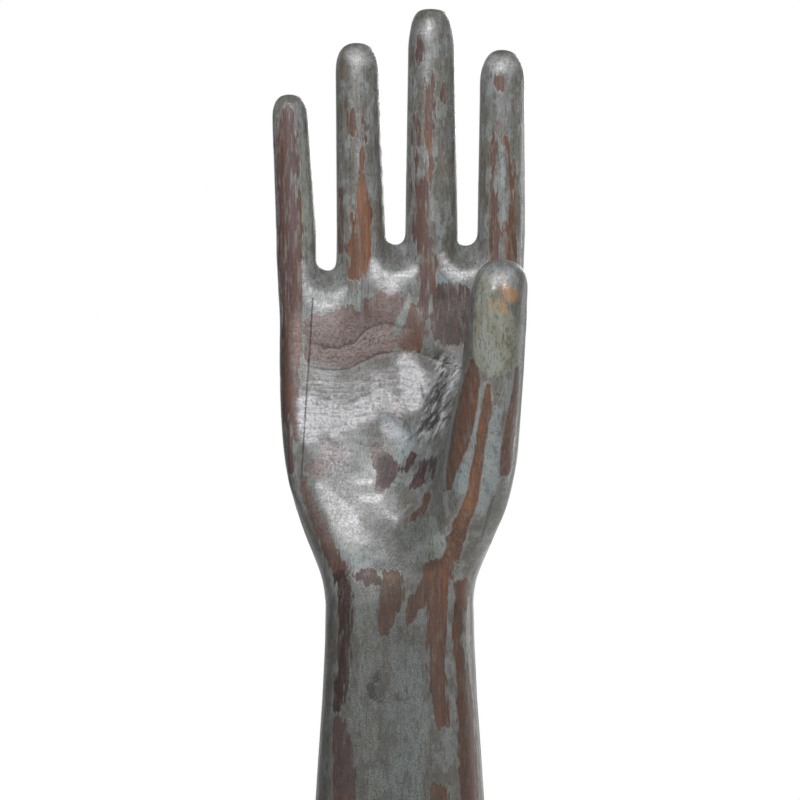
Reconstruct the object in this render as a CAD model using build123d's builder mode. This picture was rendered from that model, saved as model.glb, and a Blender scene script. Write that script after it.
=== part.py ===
"""A carved wooden glove mould in the shape of a right hand, standing on its sawn forearm.

The blank is glued up from three pieces of wood, pinned with dowels, and the hand is then carved
from it as one form. The glue joints therefore run straight through the carved surface.
Millimetres. +Z runs up the forearm to the fingertips, the palm faces -Y, the thumb is on +X.
"""

import os
from collections import namedtuple
from math import cos, pi, radians, sin, tan

from build123d import *

# Lengths along the arm and the palm, each measured from the end of the one before
CUFF_LENGTH = 116.0
FOREARM_LENGTH = 68.0
WRIST_LENGTH = 10.5
CARPUS_LENGTH = 11.0
HEEL_LENGTH = 18.5
THENAR_LENGTH = 26.0
PALM_LENGTH = 34.0
KNUCKLE_LENGTH = 18.0

# Width, depth and squareness of the arm and palm where those lengths meet: 2 is an oval
BASE_WIDTH, BASE_DEPTH, BASE_SQUARE = 78.0, 62.0, 3.6
CUFF_WIDTH, CUFF_DEPTH, CUFF_SQUARE = 61.0, 49.0, 3.6
WRIST_WIDTH, WRIST_DEPTH, WRIST_SQUARE = 53.0, 43.0, 3.6
CARPUS_WIDTH, CARPUS_DEPTH, CARPUS_SQUARE = 55.0, 43.0, 3.6
HEEL_WIDTH, HEEL_DEPTH, HEEL_SQUARE = 63.3, 41.5, 3.4
THENAR_WIDTH, THENAR_DEPTH, THENAR_SQUARE = 77.0, 36.0, 3.2
PALM_WIDTH, PALM_DEPTH, PALM_SQUARE = 85.5, 30.0, 3.2
GRIP_WIDTH, GRIP_DEPTH, GRIP_SQUARE = 89.0, 21.0, 3.0
KNUCKLE_INSET, KNUCKLE_DEPTH, KNUCKLE_SQUARE = 6.0, 16.0, 3.0

OUTLINE_POINTS = 16

# The palm lies behind the middle of the arm, and its top edge falls towards the little finger
PALM_SETBACK = 1.5
HAND_SETBACK = 3.0
GRIP_ACROSS = 0.7
KNUCKLE_TILT = 9.0

# Fingers: place across the palm, length above the knuckles, radii, sideways lean, tip height
Finger = namedtuple("Finger", "place length root_radius tip_radius lean dome")
LITTLE = Finger(-36.9, 68.0, 7.4, 6.5, 2.9, 11.0)
RING = Finger(-14.0, 86.5, 9.0, 7.8, 1.3, 11.5)
MIDDLE = Finger(11.0, 98.0, 9.7, 8.3, 0.0, 9.0)
INDEX = Finger(36.0, 84.0, 8.7, 8.1, -0.5, 12.0)
FINGERS = [LITTLE, RING, MIDDLE, INDEX]
FINGER_ROOT_DEPTH = 20.0

# Webs: the two fingers each joins, and the height of its lowest point above the knuckles. Each is
# scooped from the front and the back to a rounded edge, at a slope from the middle of the hand
WEBS = [(LITTLE, RING, 4.4), (RING, MIDDLE, 13.8), (MIDDLE, INDEX, 13.4)]
WEB_INSET = 0.4
WEB_REACH = 28.0
WEB_SLOPE = 33.0
WEB_ROUND = 2.6

# Hollow scooped out of the palm: its middle, its roundness across and along, and its slope
HOLLOW_ACROSS = -8.0
HOLLOW_ABOVE_HEEL = 44.0
HOLLOW_FLOOR = 4.5
HOLLOW_RADIUS = 58.0
HOLLOW_SWEEP = 110.0
HOLLOW_REACH = 70.0
HOLLOW_TILT = 7.0

# Thumb: middle line, half width and half depth at each bend, from inside the wrist to the tip
Bend = namedtuple("Bend", "across forward above_wrist half_width half_depth")
THUMB = [
    Bend(13.0, 3.0, -8.0, 10.0, 10.0),
    Bend(16.5, 8.0, 18.0, 12.8, 13.5),
    Bend(25.0, 20.0, 43.0, 14.6, 16.5),
    Bend(30.0, 30.5, 66.0, 12.7, 13.5),
    Bend(33.0, 38.0, 88.0, 11.2, 11.4),
    Bend(35.0, 42.5, 110.0, 10.2, 10.2),
]
THUMB_DOME = 15.0

# Glue joints: the thumb's seat stands proud of the palm, the stave's joint runs past its finger
SEAT_PROUD = 1.5
STAVE_GAP = 0.3
STAVE_LEAN = 2.4
STAVE_SKEW = 15.0

# Dowels: places on each joint, size, depth to each side of it, and room for glue
THUMB_DOWELS = {"thumb_dowel_low": (23.0, 14.0), "thumb_dowel_high": (29.0, 33.0)}
THUMB_DOWEL_RADIUS, THUMB_DOWEL_IN_PALM, THUMB_DOWEL_IN_THUMB = 4.0, 16.0, 9.0
STAVE_DOWELS = {"stave_dowel_low": (1.0, -58.0), "stave_dowel_high": (1.0, -20.0)}
STAVE_DOWEL_RADIUS, STAVE_DOWEL_IN_PALM, STAVE_DOWEL_IN_STAVE = 2.5, 14.0, 6.5
DOWEL_CLEARANCE = 0.1
DOWEL_END_ROOM = 0.5

# Peg socket bored up into the base
SOCKET_RADIUS, SOCKET_DEPTH = 8.0, 60.0

z_wrist = CUFF_LENGTH + FOREARM_LENGTH
z_carpus = z_wrist + WRIST_LENGTH
z_heel = z_carpus + CARPUS_LENGTH
z_thenar = z_heel + HEEL_LENGTH
z_palm = z_thenar + THENAR_LENGTH
z_grip = z_palm + PALM_LENGTH
z_knuckle = z_grip + KNUCKLE_LENGTH
knuckle_left = LITTLE.place - LITTLE.root_radius + KNUCKLE_INSET
knuckle_right = INDEX.place + INDEX.root_radius - KNUCKLE_INSET
knuckle_width = knuckle_right - knuckle_left
knuckle_across = (knuckle_left + knuckle_right) / 2

Station = namedtuple("Station", "height width depth squareness across setback tilt")
ARM = [
    Station(0, BASE_WIDTH, BASE_DEPTH, BASE_SQUARE, 0, 0, 0),
    Station(CUFF_LENGTH, CUFF_WIDTH, CUFF_DEPTH, CUFF_SQUARE, 0, 0, 0),
    Station(z_wrist, WRIST_WIDTH, WRIST_DEPTH, WRIST_SQUARE, 0, 0, 0),
]
HAND = [
    Station(z_wrist, WRIST_WIDTH, WRIST_DEPTH, WRIST_SQUARE, 0, 0, 0),
    Station(z_carpus, CARPUS_WIDTH, CARPUS_DEPTH, CARPUS_SQUARE, 0, 0, 0),
    Station(z_heel, HEEL_WIDTH, HEEL_DEPTH, HEEL_SQUARE, 0, 0, 0),
    Station(z_thenar, THENAR_WIDTH, THENAR_DEPTH, THENAR_SQUARE, 0, 0, 0),
    Station(z_palm, PALM_WIDTH, PALM_DEPTH, PALM_SQUARE, 0, PALM_SETBACK, 0),
    Station(
        z_grip, GRIP_WIDTH, GRIP_DEPTH, GRIP_SQUARE, GRIP_ACROSS, HAND_SETBACK, KNUCKLE_TILT / 2
    ),
    Station(
        z_knuckle,
        knuckle_width,
        KNUCKLE_DEPTH,
        KNUCKLE_SQUARE,
        knuckle_across,
        HAND_SETBACK,
        KNUCKLE_TILT,
    ),
]

# The seat of the thumb follows the front of the palm between the heel and the middle of the palm
heel_front = HEEL_DEPTH / 2 + SEAT_PROUD
palm_front = PALM_DEPTH / 2 - PALM_SETBACK + SEAT_PROUD
seat = Plane(
    (0, -heel_front, z_heel),
    x_dir=(1, 0, 0),
    z_dir=(0, z_heel - z_palm, heel_front - palm_front),
)
# The joint of the stave passes the little finger and comes out in the web beside it
stave_joint = Plane(
    (LITTLE.place + LITTLE.root_radius + STAVE_GAP, HAND_SETBACK, z_knuckle),
    x_dir=(0, 1, 0),
    z_dir=(1, 0, 0),
).rotated((0, STAVE_LEAN, -STAVE_SKEW))


def finger_across(finger, height):
    """Where the middle line of a finger stands at a height above the knuckles."""
    return finger.place - height * tan(radians(finger.lean))


def stave_side(mode):
    """Everything above the wrist on the little finger's side of the stave joint."""
    with Locations(stave_joint * Location((0, z_wrist - z_knuckle, 0))):
        Box(
            BASE_DEPTH,
            z_knuckle - z_wrist + MIDDLE.length,
            BASE_WIDTH,
            align=(Align.CENTER, Align.MIN, Align.MAX),
            mode=mode,
        )


def dowel_holes(joint, places, radius, depth):
    """Holes of one depth drilled from a joint into the piece on either side of it."""
    for place in places.values():
        with Locations(joint * Location(place)):
            Cylinder(radius + DOWEL_CLEARANCE, 2 * depth, mode=Mode.SUBTRACT)


def thumb_dowel_holes(depth):
    dowel_holes(seat, THUMB_DOWELS, THUMB_DOWEL_RADIUS, depth)


def stave_dowel_holes(depth):
    dowel_holes(stave_joint, STAVE_DOWELS, STAVE_DOWEL_RADIUS, depth)


def dome(radius, start, end):
    """Half outline of a rounded tip, closed by the line it turns about."""
    Spline((radius, start), (0, end), tangents=[(0, 1), (-1, 0)])


def carved_outline(station):
    """Points of an oval with flattened faces, for a smooth closed curve through them."""
    points = []
    for step in range(OUTLINE_POINTS):
        turn = 2 * pi * step / OUTLINE_POINTS
        power = station.squareness
        reach = (abs(cos(turn)) ** power + abs(sin(turn)) ** power) ** (-1 / power)
        across = station.across + station.width / 2 * reach * cos(turn)
        back = station.setback + station.depth / 2 * reach * sin(turn)
        points.append((across, back))
    return points


os.makedirs("parts", exist_ok=True)

with BuildPart() as carved_hand:
    for stations in (ARM, HAND):
        for station in stations:
            level = Plane.XY.offset(station.height).rotated((0, -station.tilt, 0))
            with BuildSketch(level):
                with BuildLine():
                    Spline(carved_outline(station), periodic=True)
                make_face()
        loft()
    for finger in FINGERS:
        root = (finger.place, HAND_SETBACK, z_knuckle)
        upright = Plane(root, x_dir=(1, 0, 0), z_dir=(0, -1, 0)).rotated((0, -finger.lean, 0))
        shoulder = finger.length - finger.dome
        with BuildSketch(upright):
            with BuildLine():
                Polyline(
                    (0, finger.length),
                    (0, -FINGER_ROOT_DEPTH),
                    (finger.root_radius, -FINGER_ROOT_DEPTH),
                    (finger.root_radius, 0),
                    (finger.tip_radius, shoulder),
                )
                dome(finger.tip_radius, shoulder, finger.length)
            make_face()
        revolve(axis=Axis(upright.origin, upright.y_dir))
    for left, right, height in WEBS:
        left_across = finger_across(left, height)
        right_across = finger_across(right, height)
        thickness = min(left.root_radius, right.root_radius) - WEB_INSET
        bend = (right_across - left_across) / 2
        top = z_knuckle + height + bend - thickness
        edge = left_across + thickness + WEB_ROUND * (1 / sin(radians(WEB_SLOPE)) - 1)
        shoulder = edge - thickness / tan(radians(WEB_SLOPE))
        with BuildPart(mode=Mode.PRIVATE) as web:
            with BuildSketch(Plane.XY.offset(top)):
                with BuildLine():
                    Polyline(
                        (edge, HAND_SETBACK),
                        (shoulder, HAND_SETBACK - thickness),
                        (edge - WEB_REACH, HAND_SETBACK - thickness),
                        (edge - WEB_REACH, HAND_SETBACK + thickness),
                        (shoulder, HAND_SETBACK + thickness),
                        close=True,
                    )
                make_face()
                fillet(vertices().sort_by(Axis.X)[-1], WEB_ROUND)
            revolve(axis=Axis((left_across + bend, 0, top), (0, -1, 0)), revolution_arc=180)
            with Locations((left_across + bend, HAND_SETBACK, top)):
                Box(2 * bend, 2 * thickness, 2 * top, mode=Mode.INTERSECT)
        add(web.part)
    hollow = Plane(
        (HOLLOW_ACROSS, -HOLLOW_FLOOR - HOLLOW_RADIUS, z_heel + HOLLOW_ABOVE_HEEL),
        x_dir=(0, 1, 0),
        z_dir=(1, 0, 0),
    ).rotated((-HOLLOW_TILT, 0, 0))
    with BuildSketch(hollow):
        with Locations((HOLLOW_RADIUS - HOLLOW_SWEEP, 0)):
            Circle(HOLLOW_SWEEP)
        with Locations((HOLLOW_RADIUS / 2, 0)):
            Rectangle(HOLLOW_RADIUS, HOLLOW_REACH * 2, mode=Mode.INTERSECT)
    revolve(axis=Axis(hollow.origin, hollow.y_dir), mode=Mode.SUBTRACT)

with BuildPart() as carved_thumb:
    middles = [(bend.across, -bend.forward, z_wrist + bend.above_wrist) for bend in THUMB]
    with BuildLine():
        spine = Spline(middles)
    for bend, middle in zip(THUMB, middles):
        along = spine.tangent_at(spine.param_at_point(middle))
        slice_plane = Plane(middle, x_dir=(1, 0, 0), z_dir=along)
        with BuildSketch(slice_plane):
            Ellipse(bend.half_width, bend.half_depth)
    loft()
    tip = Plane(slice_plane.origin, x_dir=slice_plane.x_dir, z_dir=-slice_plane.y_dir)
    with BuildSketch(tip):
        with BuildLine():
            Polyline((0, THUMB_DOME), (0, 0), (bend.half_width, 0))
            dome(bend.half_width, 0, THUMB_DOME)
        make_face()
    revolve(axis=Axis(tip.origin, tip.y_dir))

with BuildPart() as main_block:
    add(carved_thumb.part)
    split(bisect_by=seat, keep=Keep.BOTTOM)
    add(carved_hand.part)
    stave_side(Mode.SUBTRACT)
    thumb_dowel_holes(THUMB_DOWEL_IN_PALM)
    stave_dowel_holes(STAVE_DOWEL_IN_PALM)
    Cylinder(SOCKET_RADIUS, 2 * SOCKET_DEPTH, mode=Mode.SUBTRACT)
main_block.part.label = "main_block"
export_step(main_block.part, "parts/main_block.step")

with BuildPart() as little_finger_stave:
    add(carved_hand.part)
    stave_side(Mode.INTERSECT)
    stave_dowel_holes(STAVE_DOWEL_IN_STAVE)
little_finger_stave.part.label = "little_finger_stave"
export_step(little_finger_stave.part, "parts/little_finger_stave.step")

with BuildPart() as thumb_block:
    add(carved_thumb.part)
    split(bisect_by=seat, keep=Keep.TOP)
    thumb_dowel_holes(THUMB_DOWEL_IN_THUMB)
thumb_block.part.label = "thumb_block"
export_step(thumb_block.part, "parts/thumb_block.step")

for joint, places, radius, below, above in [
    (seat, THUMB_DOWELS, THUMB_DOWEL_RADIUS, THUMB_DOWEL_IN_PALM, THUMB_DOWEL_IN_THUMB),
    (stave_joint, STAVE_DOWELS, STAVE_DOWEL_RADIUS, STAVE_DOWEL_IN_STAVE, STAVE_DOWEL_IN_PALM),
]:
    for name, (across, up) in places.items():
        with BuildPart() as dowel:
            with Locations(joint * Location((across, up, DOWEL_END_ROOM - below))):
                Cylinder(
                    radius,
                    below + above - 2 * DOWEL_END_ROOM,
                    align=(Align.CENTER, Align.CENTER, Align.MIN),
                )
        dowel.part.label = name
        export_step(dowel.part, f"parts/{name}.step")
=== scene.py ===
"""The looks of a carved glove mould: three glued blocks of hardwood, painted grey and worn through."""

import math
from types import SimpleNamespace

import bpy
import numpy as np
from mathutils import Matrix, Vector, noise


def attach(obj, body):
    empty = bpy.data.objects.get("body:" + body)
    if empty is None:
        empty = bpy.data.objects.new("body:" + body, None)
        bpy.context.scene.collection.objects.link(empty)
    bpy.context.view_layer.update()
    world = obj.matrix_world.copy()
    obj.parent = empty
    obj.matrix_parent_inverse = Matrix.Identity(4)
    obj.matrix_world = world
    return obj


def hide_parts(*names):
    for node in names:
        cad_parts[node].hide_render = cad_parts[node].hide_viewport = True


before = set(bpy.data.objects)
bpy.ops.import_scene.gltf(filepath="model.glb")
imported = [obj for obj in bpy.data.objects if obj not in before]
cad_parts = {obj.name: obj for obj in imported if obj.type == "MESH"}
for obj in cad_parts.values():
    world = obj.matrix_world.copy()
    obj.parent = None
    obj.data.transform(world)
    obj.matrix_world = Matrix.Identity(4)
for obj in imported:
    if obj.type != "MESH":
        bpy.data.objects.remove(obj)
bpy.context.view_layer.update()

MM = 0.001

# The carved form, in millimetres

VOXEL = 1.0
DOUBLES = 0.001
CARVED = ["main_block", "little_finger_stave", "thumb_block"]

# Glue joints: a point on each and the direction across it
STAVE_JOINT = (-29.2, 3.0, 302.0), (0.965079, -0.258819, -0.040449)
THUMB_SEAT = (0.0, -22.25, 205.5), (0.0, -0.98699, 0.16080)
STAVE_FOOT, STAVE_REACH = 207.0, -10.0
THUMB_FREE, THUMB_BACK, THUMB_ROOT = 272.0, -20.0, 228.0

# Where rasp and sandpaper work: each soft edge is where it starts and where it is full
FOOT_EDGE = 4, 14
KNUCKLE_BAND = (262, 280), (296, 312)
KNUCKLE_SIDE = 33, 37
WEB_BAND = (278, 288), (306, 325)
WEB_SIDES = -40, -34
PALM_BAND = (186, 206), (280, 292)
PALM_SIDES = (-40, -33), (28, 40)
PALM_FRONT = -4, 1
THUMB_CLEAR = 2, 8
THUMB_RISE = 226, 252
FOOT_STROKES, KNUCKLE_STROKES, WEB_STROKES, PALM_STROKES = 6, 160, 28, 1600

# The hollow of the palm and the swell below the thumb: middle across and up, half sizes, depth
HOLLOW = SimpleNamespace(across=-7, up=246, half_width=30, half_height=50, depth=7, steepness=1.5)
SWELL = SimpleNamespace(across=24, up=219, half_width=11, half_height=14, depth=4, front=(5, 14))

# The middle finger's tip, worn flat: where it starts, its length before and after, and its curve
WORN_TIP = SimpleNamespace(start=388.5, length=11.5, worn=12.1, shoulder=2.5, flatness=1.28, corner=0.3125)

# Fingertips drawn in: the finger's middle, half the width it takes up, the soft edge and the share
NARROWED_TIPS = [(11.1, 12, (386, 399), 0.15), (37.6, 13, (374, 386), 0.08)]

# Height, and how far the left and right sides are trimmed there, positive to the right
SIDE_STROKES = [
    (10, 0.0, 0.0), (30, 0.18, -0.43), (130, 0.18, -0.43), (152, 0.36, -0.68), (173, 0.18, -0.47),
    (188, -0.4, 0.0), (195, -0.36, -0.45), (209, -0.36, 0.0), (224, 0.0, -0.8), (238, 0.0, -0.3),
    (252, 0.14, -0.4), (267, 0.4, -0.5), (281, -0.6, -0.9), (296, -0.65, -0.7), (308, -0.1, 0.0),
    (320, 0.2, 0.5), (400, 0.2, 0.5),
]


def pick(piece):
    """Selects this piece alone."""
    bpy.ops.object.select_all(action="DESELECT")
    piece.select_set(True)
    bpy.context.view_layer.objects.active = piece


def apply_modifier(piece, kind, **settings):
    pick(piece)
    modifier = piece.modifiers.new(kind.lower(), kind)
    for name, value in settings.items():
        setattr(modifier, name, value)
    bpy.ops.object.modifier_apply(modifier=modifier.name)


def read(items, name):
    """One vector of each point or face, as rows of three."""
    flat = np.empty(len(items) * 3)
    items.foreach_get(name, flat)
    return flat.reshape(-1, 3)


def points(piece):
    """The piece's points, in millimetres."""
    return read(piece.data.vertices, "co") / MM


def facing(piece):
    """The direction each point of the piece faces."""
    return read(piece.data.vertices, "normal")


def put_points(piece, places):
    piece.data.vertices.foreach_set("co", (places * MM).ravel())
    piece.data.update()


def ease(value, low, high):
    """0 below low, 1 above high and a smooth step between."""
    share = np.clip((value - low) / (high - low), 0, 1)
    return share * share * (3 - 2 * share)


def band(value, rise, fall):
    """1 between a soft edge that rises and one that falls."""
    return ease(value, *rise) * (1 - ease(value, *fall))


def across_joint(places, joint):
    """Signed distance of each point from a glue joint, in millimetres."""
    return (places - joint[0]) @ np.array(joint[1])


def sand(piece, share, strokes):
    """Smooths the piece where share is above 0."""
    group = piece.vertex_groups.new(name="sanded")
    for index in np.flatnonzero(share > 0.01):
        group.add([int(index)], float(share[index]), "REPLACE")
    apply_modifier(piece, "SMOOTH", factor=0.5, iterations=strokes, vertex_group="sanded")
    piece.vertex_groups.remove(piece.vertex_groups["sanded"])


bpy.ops.object.select_all(action="DESELECT")
for name in CARVED:
    block = bpy.data.objects.new("blank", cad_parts[name].data.copy())
    bpy.context.collection.objects.link(block)
    block.select_set(True)
bpy.context.view_layer.objects.active = block
bpy.ops.object.join()
hand = bpy.context.object
bpy.ops.object.mode_set(mode="EDIT")
bpy.ops.mesh.select_all(action="SELECT")
bpy.ops.mesh.remove_doubles(threshold=DOUBLES * MM)
bpy.ops.object.mode_set(mode="OBJECT")
apply_modifier(hand, "REMESH", mode="VOXEL", voxel_size=VOXEL * MM)

# Rasp and sandpaper blend the forms into each other, and the sawn foot stays crisp
places = points(hand)
across, back, up = places.T
sand(hand, ease(up, *FOOT_EDGE), FOOT_STROKES)
sand(hand, band(up, *KNUCKLE_BAND) * ease(-across, *KNUCKLE_SIDE), KNUCKLE_STROKES)
sand(hand, band(up, *WEB_BAND) * ease(-np.abs(across), *WEB_SIDES), WEB_STROKES)
palm = band(up, *PALM_BAND) * band(across, *PALM_SIDES) * ease(-back, *PALM_FRONT)
thumb = ease(across_joint(places, THUMB_SEAT), *THUMB_CLEAR) * ease(up, *THUMB_RISE)
sand(hand, palm * (1 - thumb), PALM_STROKES)

# One broad hollow in the palm, deepest beside the thumb
places = points(hand)
across, back, up = places.T
oval = ((across - HOLLOW.across) / HOLLOW.half_width) ** 2 + ((up - HOLLOW.up) / HOLLOW.half_height) ** 2
hollow = np.clip(1 - oval, 0, 1) ** HOLLOW.steepness * ease(-back, *PALM_FRONT)
hollow *= 1 - ease(across_joint(places, THUMB_SEAT), *THUMB_CLEAR)
places[:, 1] += HOLLOW.depth * hollow
oval = ((across - SWELL.across) / SWELL.half_width) ** 2 + ((up - SWELL.up) / SWELL.half_height) ** 2
places[:, 1] -= SWELL.depth * np.exp(-oval) * ease(-back, *SWELL.front)

# The middle finger's tip is worn flat
tip = np.clip((up - WORN_TIP.start) / WORN_TIP.length, 0, 1) * (across > 0)
worn = (1 - (1 - tip**WORN_TIP.shoulder) ** WORN_TIP.flatness) ** WORN_TIP.corner
places[:, 2] = np.where(tip > 0, WORN_TIP.start + WORN_TIP.worn * worn, up)
for middle, half_width, edge, share in NARROWED_TIPS:
    narrowed = share * ease(up, *edge) * (np.abs(across - middle) < half_width)
    places[:, 0] += narrowed * (middle - across)
put_points(hand, places)

# Last strokes of the spokeshave along both sides
side_height, left_side, right_side = zip(*SIDE_STROKES)
places, turned = points(hand), facing(hand)
left = np.interp(places[:, 2], side_height, left_side)
right = np.interp(places[:, 2], side_height, right_side)
places[:, 0] += right * np.clip(turned[:, 0], 0, 1) + left * np.clip(-turned[:, 0], 0, 1)
put_points(hand, places)

# Wear, painted sheen and painted shade, as marks in millimetres: across, up and half width, seen from the
# front

CAMERA_AWAY, CAMERA_UP, PICTURE_WIDTH = 1500.0, 259.6, 288.0

# Bare wood: how warm its brown is, then its path
BARE_WOOD = {
    "little_finger": (0.2, [(-40.3, 363.3, 2.5), (-40.7, 353.2, 3.8), (-40.7, 338.8, 4.1),
        (-40.0, 326.2, 4.3), (-40.0, 313.6, 4.5), (-39.2, 301.0, 4.5), (-39.2, 289.1, 3.6)]),
    "ulnar_edge": (0.8, [(-37.8, 293.8, 1.4), (-37.4, 284.8, 2.0), (-37.4, 277.6, 2.0),
        (-37.4, 271.1, 1.4)]),
    "ulnar_side": (0.35, [(-40.0, 288.4, 2.9), (-39.6, 279.4, 3.2), (-39.6, 266.8, 3.2),
        (-38.9, 258.9, 2.5), (-37.4, 245.2, 1.4)]),
    "ulnar_low": (0.1, [(-41.4, 284.8, 1.1), (-40.7, 252.4, 1.1), (-38.9, 234.4, 1.4)]),
    "ring_blotch": (0.35, [(-17.3, 363.3, 1.4), (-17.3, 359.7, 1.8), (-18.0, 356.1, 1.4)]),
    "ring_fleck": (0.2, [(-13.0, 360.4, 0.7), (-11.9, 353.2, 0.9)]),
    "ring_point": (0.5, [(-14.4, 348.9, 0.6), (-14.4, 336.6, 0.9)]),
    "ring_root": (0.78, [(-13.7, 335.9, 1.4), (-13.0, 330.9, 3.2), (-13.3, 325.8, 3.8),
        (-14.4, 318.6, 3.6), (-14.4, 311.8, 3.6), (-15.5, 305.7, 3.2)]),
    "ring_side": (0.15, [(-21.6, 335.2, 0.9), (-21.6, 313.6, 1.4)]),
    "middle_tip": (-0.1, [(7.2, 390.6, 0.9), (7.2, 382.7, 1.1)]),
    "middle_streak": (0.35, [(10.8, 376.2, 1.4), (10.8, 367.6, 2.0), (10.4, 357.5, 1.8)]),
    "middle_bright": (0.75, [(10.1, 356.8, 1.1), (10.4, 349.6, 1.1), (11.2, 346.0, 1.3),
        (10.8, 339.5, 1.3)]),
    "middle_fleck": (0.3, [(15.8, 372.6, 0.6), (16.2, 367.6, 0.8)]),
    "middle_side": (0.2, [(5.4, 361.1, 0.7), (6.1, 349.6, 1.1), (4.7, 335.2, 1.1)]),
    "middle_root": (0.2, [(8.6, 337.4, 2.2), (7.2, 326.2, 2.9), (8.6, 315.4, 3.2),
        (10.1, 309.3, 2.7), (10.1, 299.2, 2.7), (8.6, 290.2, 2.9)]),
    "index_tip": (0.3, [(36.0, 374.8, 1.8), (36.0, 372.6, 1.4)]),
    "index_left": (0.3, [(34.6, 358.6, 0.5), (34.6, 349.6, 1.1), (34.2, 336.3, 1.3),
        (34.2, 322.6, 1.4), (34.6, 307.1, 2.2)]),
    "index_right": (0.65, [(38.2, 353.2, 0.4), (38.9, 347.8, 0.8), (40.3, 338.8, 1.2),
        (40.3, 326.2, 1.5), (40.0, 317.2, 2.2), (40.0, 305.7, 3.1)]),
    "palm_top": (0.2, [(-30.2, 285.5, 5.0), (-21.6, 286.2, 5.8), (-12.6, 289.1, 6.5),
        (-4.3, 291.3, 7.2)]),
    "palm_lines": (0.25, [(-31.0, 276.9, 4.3), (-19.8, 276.2, 5.4), (-9.0, 281.2, 6.5)]),
    "palm_middle": (0.5, [(-4.3, 295.6, 4.3), (-5.0, 287.7, 4.7), (-5.8, 279.8, 4.0)]),
    "palm_seam": (0.35, [(5.4, 289.1, 4.7), (3.6, 281.2, 4.7)]),
    "palm_right": (0.1, [(16.6, 296.7, 5.0), (18.0, 290.2, 7.2), (17.3, 285.5, 6.5)]),
    "palm_edge": (-0.3, [(23.0, 298.5, 2.5), (22.3, 289.1, 2.9), (20.9, 281.9, 2.5)]),
    "palm_pink": (0.15, [(-26.6, 243.0, 1.8), (-22.3, 240.9, 3.2), (-30.2, 234.4, 3.6)]),
    "palm_grain": (0.15, [(-0.7, 258.9, 1.4), (-0.7, 254.6, 2.5)]),
    "maroon": (-0.15, [(-9.0, 242.3, 1.4), (-5.8, 237.3, 3.6), (-2.9, 235.1, 2.9),
        (-5.8, 231.5, 3.2), (-7.6, 227.2, 1.4)]),
    "leaf_left": (-0.35, [(4.0, 239.4, 1.8), (1.8, 235.1, 1.4)]),
    "leaf_low": (-0.3, [(8.6, 237.3, 1.4), (7.2, 230.8, 2.2), (5.0, 228.6, 1.1)]),
    "leaf_right": (-0.25, [(12.2, 237.3, 1.8), (13.7, 230.8, 1.8), (15.8, 227.9, 1.1)]),
    "hook": (0.4, [(10.1, 225.0, 1.3), (8.6, 220.7, 1.4), (4.3, 217.1, 1.3)]),
    "left_ridge": (0.3, [(-34.9, 230.8, 1.4), (-32.8, 223.6, 1.8), (-29.5, 215.7, 2.2),
        (-25.9, 207.4, 2.2), (-22.3, 199.8, 3.2)]),
    "left_arris": (-0.5, [(-22.3, 199.8, 2.5), (-19.8, 191.2, 2.5), (-19.1, 180.4, 2.3),
        (-19.8, 169.6, 2.2), (-20.9, 158.8, 2.2), (-22.7, 148.7, 1.8)]),
    "left_foot": (0.1, [(-22.3, 143.7, 2.2), (-20.5, 133.6, 3.6), (-19.8, 115.6, 4.3)]),
    "heel_left": (0.15, [(-15.5, 195.9, 1.4), (-12.2, 196.2, 3.2), (-8.3, 194.8, 1.4)]),
    "heel_middle": (0.6, [(-5.0, 196.6, 1.4), (-2.2, 194.8, 3.6), (-2.9, 187.6, 3.8),
        (-5.0, 179.7, 2.9), (-5.8, 176.4, 1.8)]),
    "heel_right": (0.5, [(10.8, 194.1, 2.9), (7.6, 189.0, 3.1), (4.3, 183.3, 2.2),
        (2.9, 180.0, 1.1)]),
    "thumb_to_arm": (0.55, [(22.3, 215.7, 2.2), (20.9, 210.6, 2.9), (17.3, 204.9, 4.7),
        (13.7, 199.1, 5.4), (13.3, 191.2, 4.3), (13.7, 180.4, 3.6), (13.3, 169.6, 3.2),
        (14.0, 155.2, 3.2), (15.5, 144.4, 2.9)]),
    "right_ridge": (0.45, [(22.7, 191.9, 3.2), (20.9, 182.2, 1.8), (20.5, 173.2, 1.8),
        (22.3, 162.4, 2.2), (23.4, 151.6, 2.9), (24.1, 137.2, 3.2), (25.2, 115.6, 3.6)]),
    "red_line": (0.7, [(2.2, 179.7, 0.4), (2.2, 172.5, 0.4)]),
    "arm_low": (0.5, [(13.0, 119.2, 2.5), (14.4, 114.9, 2.9)]),
    "thumb_left": (0.45, [(26.6, 273.3, 1.4), (25.9, 266.8, 2.9), (24.3, 258.9, 4.0),
        (21.6, 245.2, 3.6), (18.7, 235.1, 2.2), (17.6, 227.9, 1.1)]),
    "thumb_middle": (0.6, [(31.7, 264.6, 0.9), (31.1, 256.0, 2.0), (29.2, 245.2, 1.8),
        (27.5, 234.4, 2.0), (25.6, 223.6, 2.5), (21.6, 214.2, 2.9)]),
    "thumb_right": (0.4, [(41.4, 262.5, 1.1), (40.0, 252.4, 1.8), (38.5, 241.6, 2.3),
        (37.8, 233.7, 1.8)]),
    "thumb_edge": (0.3, [(42.1, 271.8, 0.7), (41.8, 266.8, 0.9), (41.4, 262.5, 1.1)]),
}

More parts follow.
